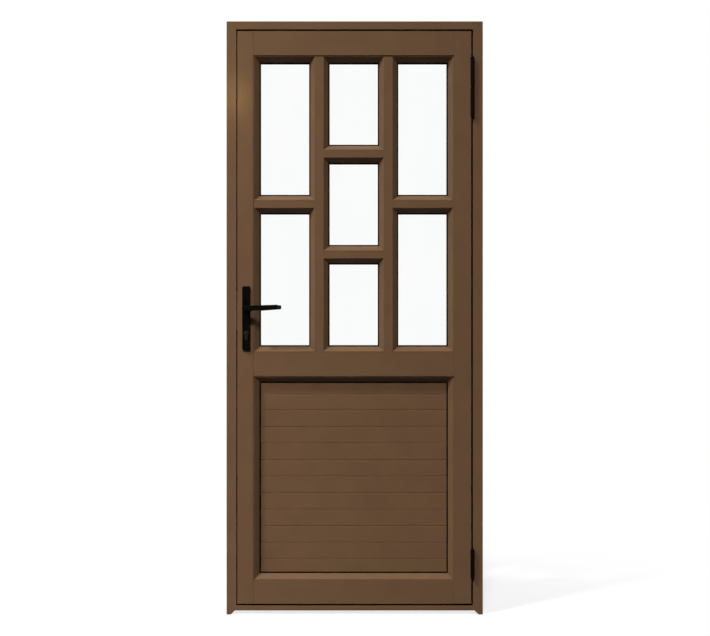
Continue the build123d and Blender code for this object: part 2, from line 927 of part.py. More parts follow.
def cylinder_body():
    """The cylinder's housing, bored for its plugs and slotted for its cam."""
    reach = rear + plate_thickness + cylinder_proud
    housing = through(cylinder_outline(0), -reach, reach)
    bore = plug_radius + running_clearance
    housing -= rod("y", (spindle_x, -reach - overrun, cylinder_level), reach + overrun, bore)
    slot_low = cylinder_level - cam_radius - cam_clearance
    slot_high = cylinder_level + cylinder_radius + overrun
    slot_x = centred(spindle_x, 2 * (cam_radius + cam_clearance))
    return housing - block(slot_x, centred(0, cam_thickness + 2 * cam_clearance), (slot_low, slot_high))


def cylinder_plugs():
    """The two plugs that the key turns, each with its keyway."""
    end = rear + plate_thickness + cylinder_proud + plug_proud
    plug = rod("y", (spindle_x, -end, cylinder_level), -cam_thickness / 2, plug_radius)
    keyway = centred(spindle_x, keyway_width), (-end - overrun, -end + keyway_depth)
    plug -= block(*keyway, centred(cylinder_level, keyway_height))
    return group([plug, mirror(plug, about=Plane.XZ)])


def cylinder_cam():
    """The finger between the plugs that throws the dead bolt."""
    finger = Pos(0, -cam_radius / 2) * Rectangle(cam_width, cam_radius)
    shape = Circle(cam_hub_radius) + (finger & Circle(cam_radius))
    return through(Pos(spindle_x, cylinder_level) * shape, -cam_thickness / 2, cam_thickness / 2)


# Handle
def plate_screw_levels():
    """The levels of the screws that clamp the two handle plates."""
    low, high = plate_span
    return (low + plate_screw_inset, high - plate_screw_inset)


def plain_handle_plate():
    """The visible side's plate with its lever and cylinder holes."""
    low, high = plate_span
    face = RectangleRounded(plate_width, high - low, plate_corner)
    plate = through(Pos(spindle_x, (low + high) / 2) * face, front - plate_thickness, front)
    plate = fillet(plate.faces().sort_by(Axis.Y)[0].edges(), plate_edge)
    near = front - plate_thickness - overrun
    plate -= rod("y", (spindle_x, near, lever_level), front + overrun, neck_radius + neck_clearance)
    return plate - through(cylinder_outline(cylinder_clearance), near, front + overrun)


def handle_screw(loose):
    """One clamping screw, or its hole, from the visible plate into the other."""
    start = front - plate_thickness
    length = plate_thickness + leaf_depth + plate_screw_bite
    sizes = (plate_screw_head_radius + loose, plate_screw_radius + loose, plate_screw_head_height)
    return countersunk((spindle_x, start, 0), (0, 1, 0), length, *sizes)


def front_handle_plate():
    """The plate on the visible side, countersunk for its screws."""
    plate = plain_handle_plate()
    for level in plate_screw_levels():
        plate -= Pos(0, 0, level) * handle_screw(screw_clearance)
    return plate


def rear_handle_plate():
    """The plate on the far side, drilled part way for the screws."""
    plate = mirror(plain_handle_plate(), about=Plane.XZ)
    for level in plate_screw_levels():
        plate -= Pos(0, 0, level) * handle_screw(screw_clearance)
    return plate


def handle_screws():
    """The two screws that clamp the plates on the stile."""
    return group([Pos(0, 0, level) * handle_screw(0) for level in plate_screw_levels()])


def front_lever():
    """The lever on the visible side: a tapering grip on a round neck."""
    tip_x = lever_reach - lever_tip_corner
    tip_half = lever_tip_height / 2 - lever_tip_corner
    circles = Circle(lever_boss_radius)
    for side in (-1, 1):
        circles += Pos(tip_x, lever_tip_rise + side * tip_half) * Circle(lever_tip_corner)
    shape = Pos(spindle_x, lever_level) * make_hull(circles.edges())
    middle = front - lever_projection
    grip = through(shape, middle - lever_thickness / 2, middle + lever_thickness / 2)
    for side in (0, -1):
        grip = fillet(grip.faces().sort_by(Axis.Y)[side].edges(), lever_edge)
    lever = grip + rod("y", (spindle_x, middle, lever_level), front - neck_clearance, neck_radius)
    socket = spindle_size + 2 * spindle_clearance
    depth = (front - spindle_seat - spindle_clearance, front + overrun)
    return lever - block(centred(spindle_x, socket), depth, centred(lever_level, socket))


def spindle():
    """The square bar from lever to lever."""
    reach = rear + spindle_seat
    return block(centred(spindle_x, spindle_size), (-reach, reach), centred(lever_level, spindle_size))


# Every piece under its own name
nodes = {
    "lock_jamb": lock_jamb(),
    "hinge_jamb": hinge_jamb(),
    "head": head(),
    "threshold": threshold(),
    "frame_corner_cleats": frame_corner_cleats(),
    "rebate_gasket": rebate_gasket(),
    "strike_plate": strike_plate(),
    "strike_screws": group([small_screw(point, (-1, 0, 0)) for point in strike_screw_points()]),
    "hinge_pins": hinge_pins(),
    "hinge_frame_screws": hinge_screws(half_width - jamb_face - hinge_leg_thickness, (1, 0, 0)),
    "hinge_leaf_screws": hinge_screws(leaf_right + hinge_leg_thickness, (-1, 0, 0)),
    "lock_stile": lock_stile(),
    "hinge_stile": hinge_stile(),
    "top_rail": rail((top_rail_low, leaf_high)),
    "mid_rail": rail((mid_rail_low, mid_rail_top)),
    "bottom_rail": rail((leaf_low, bottom_rail_top)),
    "rail_cleats": rail_cleats(),
    "left_glazing_bar": glazing_bar(0),
    "right_glazing_bar": glazing_bar(1),
    "left_crossbar": crossbar(left_cells[0]),
    "centre_upper_crossbar": crossbar(centre_cells[0]),
    "centre_lower_crossbar": crossbar(centre_cells[1]),
    "right_crossbar": crossbar(right_cells[0]),
    "left_pane_beads": bead_sets(left_cells),
    "centre_pane_beads": bead_sets(centre_cells),
    "right_pane_beads": bead_sets(right_cells),
    "panel_beads": bead_sets([panel_cell]),
    "front_gaskets": front_gaskets(),
    "rear_gaskets": rear_gaskets(),
    "glazing_packers": glazing_packers(),
    "panel_boards": panel_boards(),
    "front_handle_plate": front_handle_plate(),
    "rear_handle_plate": rear_handle_plate(),
    "handle_screws": handle_screws(),
    "front_lever": front_lever(),
    "rear_lever": mirror(front_lever(), about=Plane.XZ),
    "spindle": spindle(),
    "follower": follower(),
    "latch_bolt": latch_bolt(),
    "dead_bolt": dead_bolt(),
    "lock_case": lock_case(),
    "lock_faceplate": lock_faceplate(),
    "lock_screws": group([small_screw(point, (1, 0, 0)) for point in faceplate_screw_points()]),
    "cylinder_body": cylinder_body(),
    "cylinder_plugs": cylinder_plugs(),
    "cylinder_cam": cylinder_cam(),
}
for name, cell in pane_cells.items():
    nodes[f"{name}_pane"] = pane(cell)
for name, level in hinge_levels.items():
    nodes[f"{name}_hinge_frame_half"] = hinge_half(level, False)
    nodes[f"{name}_hinge_leaf_half"] = hinge_half(level, True)

os.makedirs("parts", exist_ok=True)
for name, solid in nodes.items():
    export_step(solid, f"parts/{name}.step")
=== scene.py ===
"""Looks of a glazed aluminium exterior door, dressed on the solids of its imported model."""

import logging
import math
from abc import ABC, abstractmethod
from dataclasses import dataclass
from enum import Enum
from typing import Any

import bmesh
import bpy
from mathutils import Matrix, Vector


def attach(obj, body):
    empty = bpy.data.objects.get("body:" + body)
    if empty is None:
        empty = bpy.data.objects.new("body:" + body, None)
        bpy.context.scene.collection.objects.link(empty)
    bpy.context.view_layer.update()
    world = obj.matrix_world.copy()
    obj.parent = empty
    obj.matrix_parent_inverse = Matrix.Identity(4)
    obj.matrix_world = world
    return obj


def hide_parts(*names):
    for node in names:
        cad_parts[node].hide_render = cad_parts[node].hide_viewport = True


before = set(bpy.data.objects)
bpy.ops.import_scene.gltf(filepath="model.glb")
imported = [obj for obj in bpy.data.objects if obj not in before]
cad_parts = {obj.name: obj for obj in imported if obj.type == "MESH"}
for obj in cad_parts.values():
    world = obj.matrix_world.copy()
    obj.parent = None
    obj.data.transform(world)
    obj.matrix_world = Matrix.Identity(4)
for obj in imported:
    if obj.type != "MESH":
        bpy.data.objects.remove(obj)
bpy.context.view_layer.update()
log = logging.getLogger("door")

MM = 0.001
WHITE = "#FFFFFF"
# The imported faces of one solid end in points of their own, this close to those of the next face.
WELD_DISTANCE = 0.004 * MM
# The stretch between 0 and 1 that most of a noise's values lie in.
NOISE_WINDOW = (0.3, 0.7)


class Drive(Enum):
    """The recess in a screw's head."""

    CROSS = "cross"
    HEX = "hex"


class Way(Enum):
    """The direction that a screw is driven in, seen from the front of the door."""

    LEFT = (-1.0, 0.0, 0.0)
    RIGHT = (1.0, 0.0, 0.0)
    BACK = (0.0, 1.0, 0.0)


def linear(colour: str) -> tuple[float, float, float, float]:
    """Turn an sRGB hex colour into linear light.

    Args:
        colour: Hex digits with a leading hash.

    Returns:
        Linear red, green, blue and an alpha of one.
    """
    shares = [int(colour[place:place + 2], 16) / 255 for place in (1, 3, 5)]
    light = [s / 12.92 if s <= 0.04045 else ((s + 0.055) / 1.055) ** 2.4 for s in shares]
    return (*light, 1.0)


def per_metre(pitch_mm: float) -> float:
    """A texture's scale for a pattern of a real pitch in millimetres."""
    return 1 / (pitch_mm * MM)


def add_node(tree: Any, kind: str, settings: dict | None = None, links: dict | None = None) -> Any:
    """Add a node with its settings and the links that feed it.

    Args:
        tree: The node tree that takes the node.
        kind: The node's type.
        settings: Values by property name, socket name or socket number.
        links: Source node and output by the socket that each one feeds.

    Returns:
        The new node.
    """
    node = tree.nodes.new(kind)
    for name, value in (settings or {}).items():
        if isinstance(name, str) and hasattr(node, name):
            setattr(node, name, value)
        else:
            node.inputs[name].default_value = value
    for name, (source, output) in (links or {}).items():
        tree.links.new(source.outputs[output], node.inputs[name])
    return node


@dataclass(frozen=True)
class Finish:
    """A surface: two close colours that mottle, a gloss that varies and a fine relief.

    The mottle carries the colours and the gloss. Its pitch and the relief's are in millimetres.
    """

    name: str
    light: str
    dark: str
    roughness: float
    gloss_spread: float
    mottle_mm: float
    relief_mm: float
    relief_height_mm: float
    stretch: tuple[float, float, float] = (1.0, 1.0, 1.0)
    constants: tuple[tuple[str, float], ...] = ()
    mottle_detail: float = 3.0
    mottle_grain: float = 0.6
    piece_shift: float = 40.0
    gloss_window: tuple[float, float] = NOISE_WINDOW
    relief_detail: float = 2.0

    def material(self) -> bpy.types.Material:
        """Make the material, or find the one that is made.

        Returns:
            The material under the finish's own name.
        """
        made = bpy.data.materials.get(self.name)
        if made:
            return made
        made = bpy.data.materials.new(self.name)
        made.use_nodes = True
        made.node_tree.nodes.clear()
        self.surface(made.node_tree)
        return made

    def mottle(self, tree: bpy.types.NodeTree, drawn: Any) -> Any:
        """Add the noise of the mottle, which starts elsewhere on every piece.

        Args:
            tree: The material's node tree.
            drawn: The node that gives the place on the piece.

        Returns:
            The noise node.
        """
        piece = add_node(tree, "ShaderNodeObjectInfo")
        shift = add_node(
            tree, "ShaderNodeMath", {"operation": "MULTIPLY", 1: self.piece_shift}, {0: (piece, "Random")}
        )
        return add_node(
            tree, "ShaderNodeTexNoise",
            {"noise_dimensions": "4D", "Scale": per_metre(self.mottle_mm), "Detail": self.mottle_detail,
             "Roughness": self.mottle_grain},
            {"Vector": (drawn, "Vector"), "W": (shift, "Value")},
        )

    def surface(self, tree: bpy.types.NodeTree) -> None:
        """Build the shader's nodes.

        Args:
            tree: The material's empty node tree.
        """
        place = add_node(tree, "ShaderNodeTexCoord")
        drawn = add_node(tree, "ShaderNodeMapping", {"Scale": self.stretch}, {"Vector": (place, "Object")})
        mottle = self.mottle(tree, drawn)
        colour = add_node(tree, "ShaderNodeValToRGB", None, {"Fac": (mottle, "Fac")})
        for end, position, shade in zip(colour.color_ramp.elements, NOISE_WINDOW, (self.dark, self.light)):
            end.position = position
            end.color = linear(shade)
        gloss = add_node(
            tree, "ShaderNodeMapRange",
            {"From Min": self.gloss_window[0], "From Max": self.gloss_window[1],
             "To Min": self.roughness - self.gloss_spread, "To Max": self.roughness + self.gloss_spread},
            {"Value": (mottle, "Fac")},
        )
        relief = add_node(
            tree, "ShaderNodeTexNoise", {"Scale": per_metre(self.relief_mm), "Detail": self.relief_detail},
            {"Vector": (drawn, "Vector")},
        )
        bump = add_node(
            tree, "ShaderNodeBump", {"Strength": 1.0, "Distance": self.relief_height_mm * MM},
            {"Height": (relief, "Fac")},
        )
        shader = add_node(
            tree, "ShaderNodeBsdfPrincipled", dict(self.constants),
            {"Base Color": (colour, "Color"), "Roughness": (gloss, "Result"), "Normal": (bump, "Normal")},
        )
        add_node(tree, "ShaderNodeOutputMaterial", None, {"Surface": (shader, "BSDF")})


@dataclass(frozen=True)
class FloatGlass(Finish):
    """Clear float glass: a long faint roller wave, and a trace of wiped dust from pane to pane."""

    def mottle(self, tree: bpy.types.NodeTree, drawn: Any) -> Any:
        """Add the noise of the wiped dust.

        Args:
            tree: The material's node tree.
            drawn: The node that gives the place on the piece.

        Returns:
            The noise node.
        """
        return add_node(
            tree, "ShaderNodeTexNoise", {"Scale": per_metre(self.mottle_mm), "Detail": self.mottle_detail},
            {"Vector": (drawn, "Vector")},
        )


# Polyester powder coat baked on extruded aluminium: satin, with the shallow ripple of melted powder.
# Its cloudiness is drawn as coarse as it needs to show.
BROWN_COAT = Finish(
    "satin_brown_powder_coat", light="#6E533B", dark="#684E38", roughness=0.42, gloss_spread=0.04,
    mottle_mm=90.0, relief_mm=2.4, relief_height_mm=0.01,
    constants=(("Specular IOR Level", 0.14), ("Coat Weight", 0.06), ("Coat Roughness", 0.14)),
)
# The same coat in black on the cast levers and their plates: a soft sheen on every rounded edge.
BLACK_COAT = Finish(
    "satin_black_powder_coat", light="#090806", dark="#050403", roughness=0.48, gloss_spread=0.05,
    mottle_mm=40.0, relief_mm=1.6, relief_height_mm=0.012, constants=(("Specular IOR Level", 0.06),),
)
# Stove enamel on rolled steel hinges: black and a little shinier than the levers.
BLACK_ENAMEL = Finish(
    "black_enamelled_steel", light="#0A0908", dark="#060605", roughness=0.45, gloss_spread=0.05,
    mottle_mm=25.0, relief_mm=1.2, relief_height_mm=0.008, constants=(("Specular IOR Level", 0.08),),
)
# Extruded synthetic rubber: matt black, with a faint bloom along the strip.
RUBBER = Finish(
    "extruded_black_rubber", light="#0C0C0B", dark="#060606", roughness=0.62, gloss_spread=0.06,
    mottle_mm=30.0, relief_mm=0.9, relief_height_mm=0.02, constants=(("Specular IOR Level", 0.07),),
)
# Zinc plated steel: bright grey with a cloudy, slightly blue bloom.
ZINC = Finish(
    "zinc_plated_steel", light="#C3C6CA", dark="#A9ACB0", roughness=0.32, gloss_spread=0.08,
    mottle_mm=14.0, relief_mm=0.8, relief_height_mm=0.004, constants=(("Metallic", 1.0),),
)
# Nickel plated brass, drawn and lightly polished, coloured as a dark, warm metal: the darkness is painted
# dark reflection of the surroundings.
NICKEL_BRASS_PAINTED_DARK = Finish(
    "nickel_plated_brass_painted_dark", light="#54463A", dark="#3E332A", roughness=0.3, gloss_spread=0.06,
    mottle_mm=9.0, relief_mm=0.5, relief_height_mm=0.003, stretch=(1.0, 0.08, 1.0),
    constants=(("Metallic", 1.0),),
)
# Extruded aluminium left as it comes off the press: pale grey with die lines.
MILL_ALUMINIUM = Finish(
    "mill_finish_aluminium", light="#C9CACB", dark="#B4B5B7", roughness=0.36, gloss_spread=0.07,
    mottle_mm=12.0, relief_mm=0.8, relief_height_mm=0.006, stretch=(0.1, 1.0, 1.0),
    constants=(("Metallic", 1.0),),
)
# Moulded polypropylene packers: dull grey with a fine grain.
POLYPROPYLENE = Finish(
    "moulded_polypropylene", light="#6A6C70", dark="#5C5E62", roughness=0.55, gloss_spread=0.05,
    mottle_mm=20.0, relief_mm=1.0, relief_height_mm=0.02,
)
# Float glass, flat and polished by the melt: clear, with no colour of its own and a bright mirror at a slant.
CLEAR_GLASS = FloatGlass(
    "clear_float_glass", light="#FEFFFE", dark="#FBFEFD", roughness=0.0075, gloss_spread=0.0075,
    mottle_mm=160.0, relief_mm=240.0, relief_height_mm=0.02, stretch=(1.0, 1.0, 0.35),
    constants=(("Transmission Weight", 1.0), ("IOR", 1.52)),
    mottle_detail=4.0, gloss_window=(0.45, 0.8), relief_detail=0.0,
)


def joined_solids() -> bpy.types.NodeTree:
    """The geometry nodes that join a solid's faces along their edges and shade them smoothly.

    Returns:
        The node group, made once.
    """
    made = bpy.data.node_groups.get("joined_solids")
    if made:
        return made
    made = bpy.data.node_groups.new("joined_solids", "GeometryNodeTree")
    for side in ("INPUT", "OUTPUT"):
        made.interface.new_socket("Geometry", in_out=side, socket_type="NodeSocketGeometry")
    start = add_node(made, "NodeGroupInput")
    weld = add_node(
        made, "GeometryNodeMergeByDistance", {"Distance": WELD_DISTANCE}, {"Geometry": (start, "Geometry")}
    )
    smooth = add_node(made, "GeometryNodeSetShadeSmooth", None, {"Geometry": (weld, "Geometry")})
    add_node(made, "NodeGroupOutput", None, {"Geometry": (smooth, "Geometry")})
    return made


def ease_edges(piece: bpy.types.Object, ease_mm: float) -> None:
    """Join a piece's faces, round its sharp edges and keep its flats flat.

    Args:
        piece: The object to ease.
        ease_mm: How far its edges are rounded, with zero for edges that the solid rounds by itself.
    """
    sharp_degrees = 35.0
    join = piece.modifiers.new("join", "NODES")
    join.node_group = joined_solids()
    if ease_mm:
        ease = piece.modifiers.new("ease", "BEVEL")
        ease.width = ease_mm * MM
        ease.segments = 2
        ease.limit_method = "ANGLE"
        ease.angle_limit = math.radians(sharp_degrees)
        ease.use_clamp_overlap = True
    flats = piece.modifiers.new("flats", "WEIGHTED_NORMAL")
    flats.keep_sharp = True


def solid_boxes(node: str) -> list[tuple[Vector, Vector]]:
    """Find the boxes of a node's separate solids.

    Args:
        node: The node's name.

    Returns:
        The lowest and highest corner of each solid, from the lowest solid up.
    """
    mesh = bmesh.new()
    mesh.from_mesh(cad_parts[node].data)
    bmesh.ops.remove_doubles(mesh, verts=mesh.verts, dist=WELD_DISTANCE)
    boxes = []
    seen = set()
    for start in mesh.verts:
        if start in seen:
            continue
        seen.add(start)
        reached = [start]
        queue = [start]
        while queue:
            for edge in queue.pop().link_edges:
                for vert in edge.verts:
                    if vert not in seen:
                        seen.add(vert)
                        reached.append(vert)
                        queue.append(vert)
        low, high = [[end(vert.co[axis] for vert in reached) for axis in range(3)] for end in (min, max)]
        boxes.append((Vector(low), Vector(high)))
    mesh.free()
    return sorted(boxes, key=lambda box: box[0].z)


@dataclass(frozen=True)
class Screw:
    """A countersunk screw with a drive recess. The shares are of the size that each name follows."""

    drive: Drive
    head_radius: float
    shank_radius: float
    head_height: float
    rim_ease: float = 0.15 * MM
    recess_depth: float = 1.3 * MM
    recess_reach_share: float = 0.62
    recess_arm_share: float = 0.24
    recess_floor_share: float = 0.8
    tip_radius_share: float = 0.35
    sides: int = 32

    def recess_outline(self) -> list[tuple[float, float]]:
        """The recess as points round the head's middle.

        Returns:
            Points in the head's plane, anticlockwise.
        """
        reach = self.head_radius * self.recess_reach_share
        if self.drive is Drive.HEX:
            turns = [turn * math.pi / 3 for turn in range(6)]
            return [(reach * math.cos(turn), reach * math.sin(turn)) for turn in turns]
        half = reach * self.recess_arm_share
        corner = [(reach, -half), (reach, half), (half, half)]
        points = []
        for turn in range(4):
            spin = Matrix.Rotation(turn * math.pi / 2, 2)
            points += [tuple(spin @ Vector(point)) for point in corner]
        return points

    def add_to(self, mesh: bmesh.types.BMesh, length: float) -> None:
        """Add one screw at the origin, its head's face at zero and its shank along +Z.

        Args:
            mesh: The mesh that takes it.
            length: The screw's length with its head.
        """
        side = [
            (self.head_radius - self.rim_ease, 0.0),
            (self.head_radius, self.rim_ease),
            (self.shank_radius, self.head_height),
            (self.shank_radius, length - self.shank_radius),
            (self.shank_radius * self.tip_radius_share, length),
        ]
        turns = [turn * math.tau / self.sides for turn in range(self.sides)]
        rings = []
        for radius, depth in side:
            rings.append([mesh.verts.new((radius * math.cos(a), radius * math.sin(a), depth)) for a in turns])
        for upper, lower in zip(rings, rings[1:]):
            for place in range(self.sides):
                after = (place + 1) % self.sides
                mesh.faces.new((upper[place], upper[after], lower[after], lower[place]))
        mesh.faces.new(rings[-1])
        edge = self.recess_outline()
        share = self.recess_floor_share
        mouth = [mesh.verts.new((x, y, 0.0)) for x, y in edge]
        floor = [mesh.verts.new((share * x, share * y, self.recess_depth)) for x, y in edge]
        rim = [mesh.edges.get((rings[0][place], rings[0][place - 1])) for place in range(self.sides)]
        lip = [mesh.edges.new((mouth[place - 1], mouth[place])) for place in range(len(mouth))]
        bmesh.ops.triangle_fill(mesh, edges=rim + lip, use_beauty=True)
        for place in range(len(mouth)):
            mesh.faces.new((mouth[place - 1], mouth[place], floor[place], floor[place - 1]))
        mesh.faces.new(floor)


SMALL_SCREW = Screw(Drive.CROSS, head_radius=3.6 * MM, shank_radius=2.0 * MM, head_height=1.6 * MM)
HANDLE_SCREW = Screw(Drive.HEX, head_radius=4.6 * MM, shank_radius=2.5 * MM, head_height=2.4 * MM)


@dataclass
class ScrewSet:
    """Screws with a drive recess, in place of one node's plain ones."""

    node: str
    body: str
    slot: str
    finish: Finish
    screw: Screw
    way: Way
    recess_turn: float = 0.7

    def heads(self, inward: Vector) -> tuple[list[Vector], float]:
        """Find where the node's screws start and how long they are.

        Args:
            inward: The direction from the head to the point.

        Returns:
            The heads' middles and one screw's length.
        """
        places = []
        length = 0.0
        for low, high in solid_boxes(self.node):
            length = abs((high - low).dot(inward))
            places.append((low + high) / 2 - inward * length / 2)
        return places, length

    def build(self) -> bpy.types.Object:
        """Make every screw of the set as one piece.

        Returns:
            The piece, riding on its body.
        """
        inward = Vector(self.way.value)
        places, length = self.heads(inward)
        whole = bmesh.new()
        turn = inward.to_track_quat("Z", "Y").to_matrix().to_4x4()
        for count, place in enumerate(places):
            one = bmesh.new()
            self.screw.add_to(one, length)
            spin = Matrix.Rotation(count * self.recess_turn, 4, "Z")
            one.transform(Matrix.Translation(place) @ turn @ spin)
            loose = bpy.data.meshes.new("loose_screw")
            one.to_mesh(loose)
            one.free()
            whole.from_mesh(loose)
            bpy.data.meshes.remove(loose)
        bmesh.ops.recalc_face_normals(whole, faces=whole.faces)
        name = f"{self.node}_driven"
        shape = bpy.data.meshes.new(name)
        whole.to_mesh(shape)
        whole.free()
        piece = bpy.data.objects.new(name, shape)
        bpy.context.scene.collection.objects.link(piece)
        shape.materials.append(self.finish.material())
        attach(piece, self.body)
        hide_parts(self.node)
        log.info("%s: %d screws", name, len(places))
        return piece


@dataclass
class SubAssembly(ABC):
    """A set of the door's solids that are dressed together, with the screws that hold them."""

    @abstractmethod
    def dress(self) -> None:
        """Give every solid its finish and its eased edges."""

    def screws(self) -> tuple[ScrewSet, ...]:
        """The sets of screws that show, none unless the sub-assembly has its own."""
        return ()

    def coat(self, finish: Finish, ease_mm: float, *nodes: str) -> None:
        """Give some solids one finish and ease their edges alike.

        Args:
            finish: The finish.
            ease_mm: How far the edges are rounded, in millimetres.
            nodes: The solids' names.
        """
        for node in nodes:
            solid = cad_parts[node]
            solid.material_slots[0].material = finish.material()
            ease_edges(solid, ease_mm)
            log.info("%s: %s", node, finish.name)

    def build(self) -> None:
        """Dress the solids and make the screws."""
        self.dress()
        for screws in self.screws():
            screws.build()


@dataclass
class DoorFrame(SubAssembly):
    """The jambs, head and threshold with their seal, cleats and strike plate."""

    profile_ease_mm: float = 0.6
    gasket_ease_mm: float = 0.5
    plate_ease_mm: float = 0.3
    strike_screw: Screw = SMALL_SCREW

    def dress(self) -> None:
        """Dress the profiles, the seal, the cleats and the strike plate."""
        self.coat(BROWN_COAT, self.profile_ease_mm, "lock_jamb", "hinge_jamb", "head", "threshold")
        self.coat(MILL_ALUMINIUM, self.plate_ease_mm, "frame_corner_cleats")
        self.coat(RUBBER, self.gasket_ease_mm, "rebate_gasket")
        self.coat(ZINC, self.plate_ease_mm, "strike_plate")

    def screws(self) -> tuple[ScrewSet, ...]:
        """The screws of the strike plate."""
        look = ("zinc_plated_steel", ZINC, self.strike_screw)
        return (ScrewSet("strike_screws", "frame", *look, Way.LEFT),)


@dataclass
class Leaf(SubAssembly):
    """The leaf's stiles, rails, bars and boards."""

    profile_ease_mm: float = 0.6
    board_ease_mm: float = 0.35
    cleat_ease_mm: float = 0.3

    def dress(self) -> None:
        """Dress the profiles, the boards and the cleats."""
        self.coat(
            BROWN_COAT, self.profile_ease_mm,
            "lock_stile", "hinge_stile", "top_rail", "mid_rail", "bottom_rail",
            "left_glazing_bar", "right_glazing_bar", "left_crossbar", "right_crossbar",
            "centre_upper_crossbar", "centre_lower_crossbar",
        )
        self.coat(BROWN_COAT, self.board_ease_mm, "panel_boards")
        self.coat(MILL_ALUMINIUM, self.cleat_ease_mm, "rail_cleats")


@dataclass
class Glazing(SubAssembly):
    """The panes with their beads, gaskets and packers."""

    panes: tuple[str, ...] = (
        "left_upper_pane", "left_lower_pane", "centre_upper_pane", "centre_middle_pane", "centre_lower_pane",
        "right_upper_pane", "right_lower_pane",
    )
    bead_ease_mm: float = 0.45
    gasket_ease_mm: float = 0.5
    packer_ease_mm: float = 0.3
    pane_ease_mm: float = 0.5

    def dress(self) -> None:
        """Dress the beads, gaskets and packers, and the panes so that they let the light through."""
        self.coat(
            BROWN_COAT, self.bead_ease_mm,
            "left_pane_beads", "centre_pane_beads", "right_pane_beads", "panel_beads",
        )
        self.coat(RUBBER, self.gasket_ease_mm, "front_gaskets", "rear_gaskets")
        self.coat(POLYPROPYLENE, self.packer_ease_mm, "glazing_packers")
        self.coat(CLEAR_GLASS, self.pane_ease_mm, *self.panes)
        for pane in self.panes:
            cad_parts[pane].visible_shadow = False


@dataclass
class HingeSet(SubAssembly):
    """The three barrel hinges, each with a half on the frame and a half on the leaf."""

    places: tuple[str, ...] = ("top", "upper", "bottom")
    half_ease_mm: float = 0.3
    pin_ease_mm: float = 0.35
    hinge_screw: Screw = SMALL_SCREW

    def dress(self) -> None:
        """Dress the halves and their pins."""
        for place in self.places:
            halves = (f"{place}_hinge_frame_half", f"{place}_hinge_leaf_half")
            self.coat(BLACK_ENAMEL, self.half_ease_mm, *halves)
        self.coat(BLACK_ENAMEL, self.pin_ease_mm, "hinge_pins")

    def screws(self) -> tuple[ScrewSet, ...]:
        """The screws of both halves."""
        look = ("black_painted_steel", BLACK_ENAMEL, self.hinge_screw)
        return (
            ScrewSet("hinge_frame_screws", "frame", *look, Way.RIGHT),
            ScrewSet("hinge_leaf_screws", "leaf", *look, Way.LEFT),
        )


@dataclass
class HandleSet(SubAssembly):
    """The levers on their plates. The castings have fillets of their own."""

    casting_ease_mm: float = 0.0
    spindle_ease_mm: float = 0.3
    plate_screw: Screw = HANDLE_SCREW

    def dress(self) -> None:
        """Dress the levers, the plates and the spindle."""
        self.coat(
            BLACK_COAT, self.casting_ease_mm,
            "front_lever", "rear_lever", "front_handle_plate", "rear_handle_plate",
        )
        self.coat(ZINC, self.spindle_ease_mm, "spindle")

    def screws(self) -> tuple[ScrewSet, ...]:
        """The screws through both plates."""
        look = ("black_painted_steel", BLACK_ENAMEL, self.plate_screw)
        return (ScrewSet("handle_screws", "leaf", *look, Way.BACK),)


@dataclass
class MortiseLock(SubAssembly):
    """The lock in the stile, with its bolts and key cylinder."""

    part_ease_mm: float = 0.3
    cylinder_ease_mm: float = 0.3
    faceplate_screw: Screw = SMALL_SCREW

    def dress(self) -> None:
        """Dress the case, what moves in it and the cylinder."""
        self.coat(
            ZINC, self.part_ease_mm,
            "lock_case", "lock_faceplate", "follower", "latch_bolt", "dead_bolt", "cylinder_cam",
        )
        # The cylinder's dark colour is painted reflection of dark surroundings.
        self.coat(NICKEL_BRASS_PAINTED_DARK, self.cylinder_ease_mm, "cylinder_body", "cylinder_plugs")

    def screws(self) -> tuple[ScrewSet, ...]:
        """The screws of the faceplate."""
        look = ("zinc_plated_steel", ZINC, self.faceplate_screw)
        return (ScrewSet("lock_screws", "leaf", *look, Way.RIGHT),)


@dataclass(frozen=True)
class Softbox:
    """A square lamp that faces a point. The panes don't show it."""

    name: str
    place: tuple[float, float, float]
    aim: tuple[float, float, float]
    size: float
    watts: float
    colour: str = WHITE
    spread_degrees: float = 180.0
    glossy: bool = True
    diffuse: bool = True

    def build(self) -> bpy.types.Object:
        """Hang the lamp.

        Returns:
            The lamp's object.
        """
        lamp = bpy.data.lights.new(self.name, "AREA")
        lamp.shape = "SQUARE"
        lamp.size = self.size
        lamp.spread = math.radians(self.spread_degrees)
        lamp.energy = self.watts
        lamp.color = linear(self.colour)[:3]
        hung = bpy.data.objects.new(self.name, lamp)
        hung.location = self.place
        hung.rotation_euler = (Vector(self.aim) - Vector(self.place)).to_track_quat("-Z", "Y").to_euler()
        hung.visible_glossy = self.glossy
        hung.visible_diffuse = self.diffuse
        hung.visible_transmission = False
        bpy.context.scene.collection.objects.link(hung)
        log.info("lamp %s", self.name)
        return hung


DOOR_MIDDLE = (0.0, 0.0, 1.05)
LAMPS = (
    # High on the left, and small for its distance, so that it draws the beads' shadows.
    Softbox("key_softbox", (-26.8, -16.9, 39.8), DOOR_MIDDLE, 3.6, 17400.0),
    # Narrow and aimed past the left of the door, so that its light fades from left to right.
    Softbox(
        "fill_softbox", (-6.0, -22.7, 23.0), (-9.4, 0.0, 1.05), 6.0, 1900.0,
        spread_degrees=40.0, glossy=False,
    ),
    # Along the door's face from the left, for the bevels that face it.
    Softbox("side_softbox", (-3.42, -1.35, 4.02), DOOR_MIDDLE, 1.1, 29.0, glossy=False),
    # Only mirrored: a warm sheen on the lock stile.
    Softbox(
        "sheen_softbox", (-0.84, -3.2, 2.58), (-0.42, 0.0, 1.81), 0.2, 9.5,
        colour="#FFCB79", diffuse=False,
    ),
    # For the back of the door.
    Softbox("rear_softbox", (2.5, 14.0, 3.5), DOOR_MIDDLE, 5.0, 2200.0, glossy=False),
)


